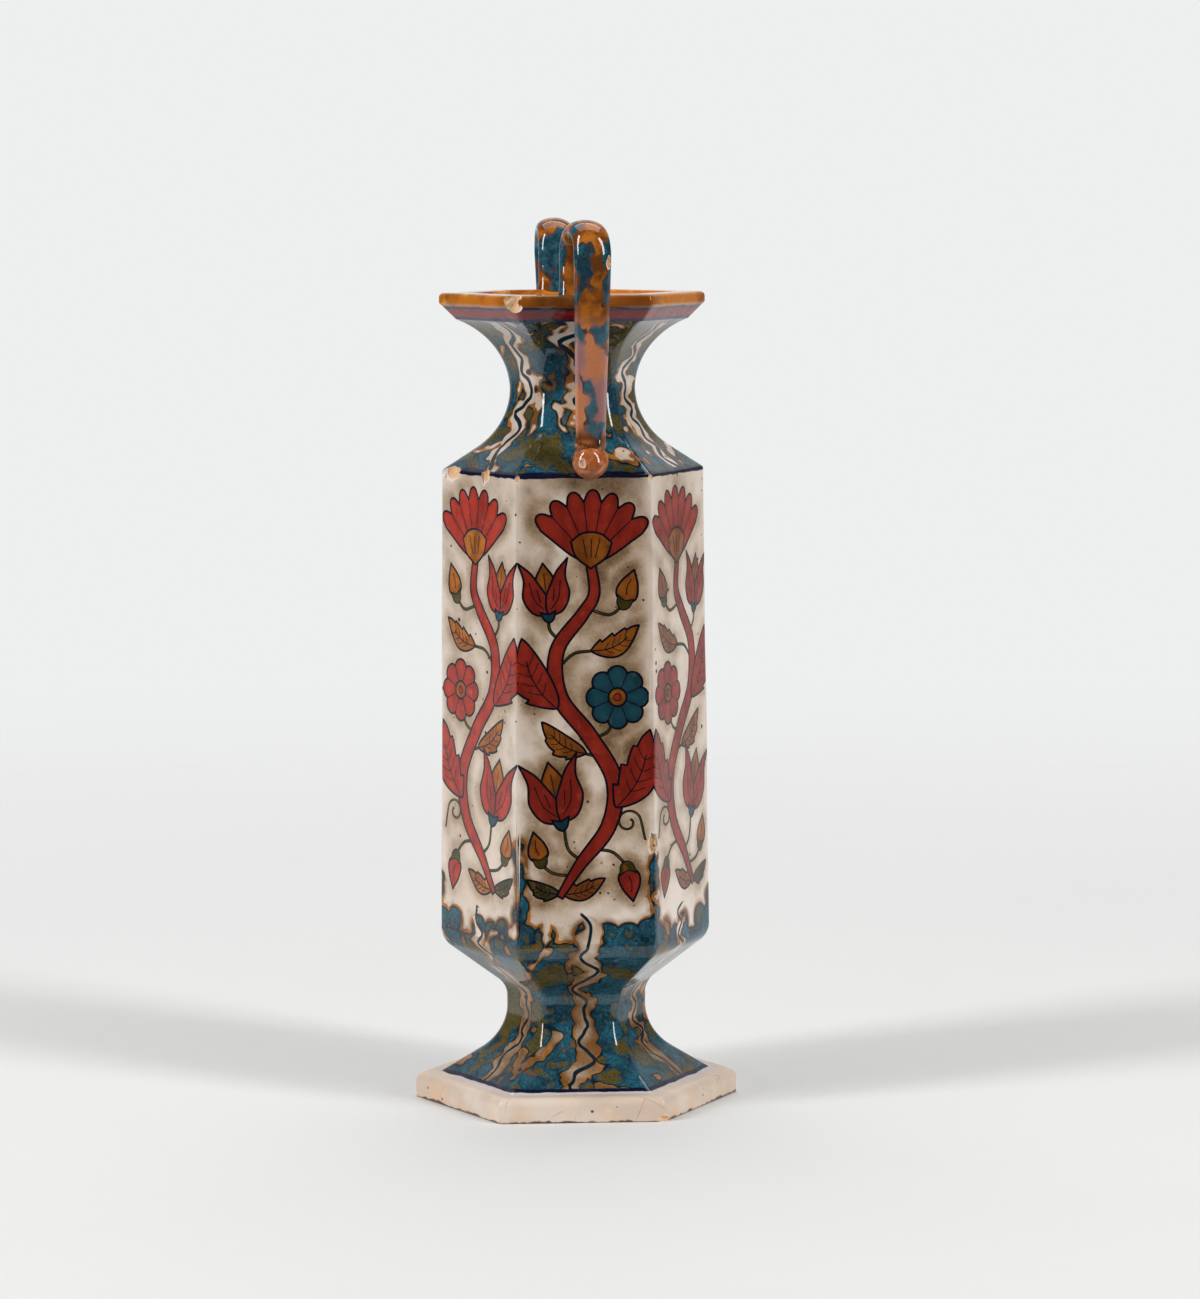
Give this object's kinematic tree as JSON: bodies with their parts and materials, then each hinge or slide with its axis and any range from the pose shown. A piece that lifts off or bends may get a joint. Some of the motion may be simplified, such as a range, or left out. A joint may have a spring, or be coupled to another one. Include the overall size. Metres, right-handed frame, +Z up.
{
  "type": "handled vase",
  "caption": "Tall six-sided glazed ceramic vase on a waisted foot and plinth, with a flared neck and looped handles rising over the rim to ball bosses on the shoulder.",
  "frame": {"origin": "centre of the plinth's underside, on the vase's axis, at ground level", "axes": "+Z up along the vase's axis; -Y towards the face that carries the front handle; +X to the right of that face"},
  "size_m": [0.1102, 0.1064, 0.2985],
  "materials": {
    "bare_clay": "matte",
    "mottled_glaze": "gloss",
    "painted_glaze": "gloss",
    "amber_glaze": "gloss"
  },
  "bodies": {
    "root": {"plinth": "bare_clay", "foot": "mottled_glaze", "floor": "bare_clay", "bowl": "mottled_glaze", "panel_front": "painted_glaze", "panel_front_right": "painted_glaze", "panel_back_right": "painted_glaze", "panel_back": "painted_glaze", "panel_back_left": "painted_glaze", "panel_front_left": "painted_glaze", "neck": "mottled_glaze", "rim": "amber_glaze", "handle_front": "amber_glaze", "handle_back": "amber_glaze", "boss_front": "amber_glaze", "boss_back": "amber_glaze"}
  },
  "joints": []
}
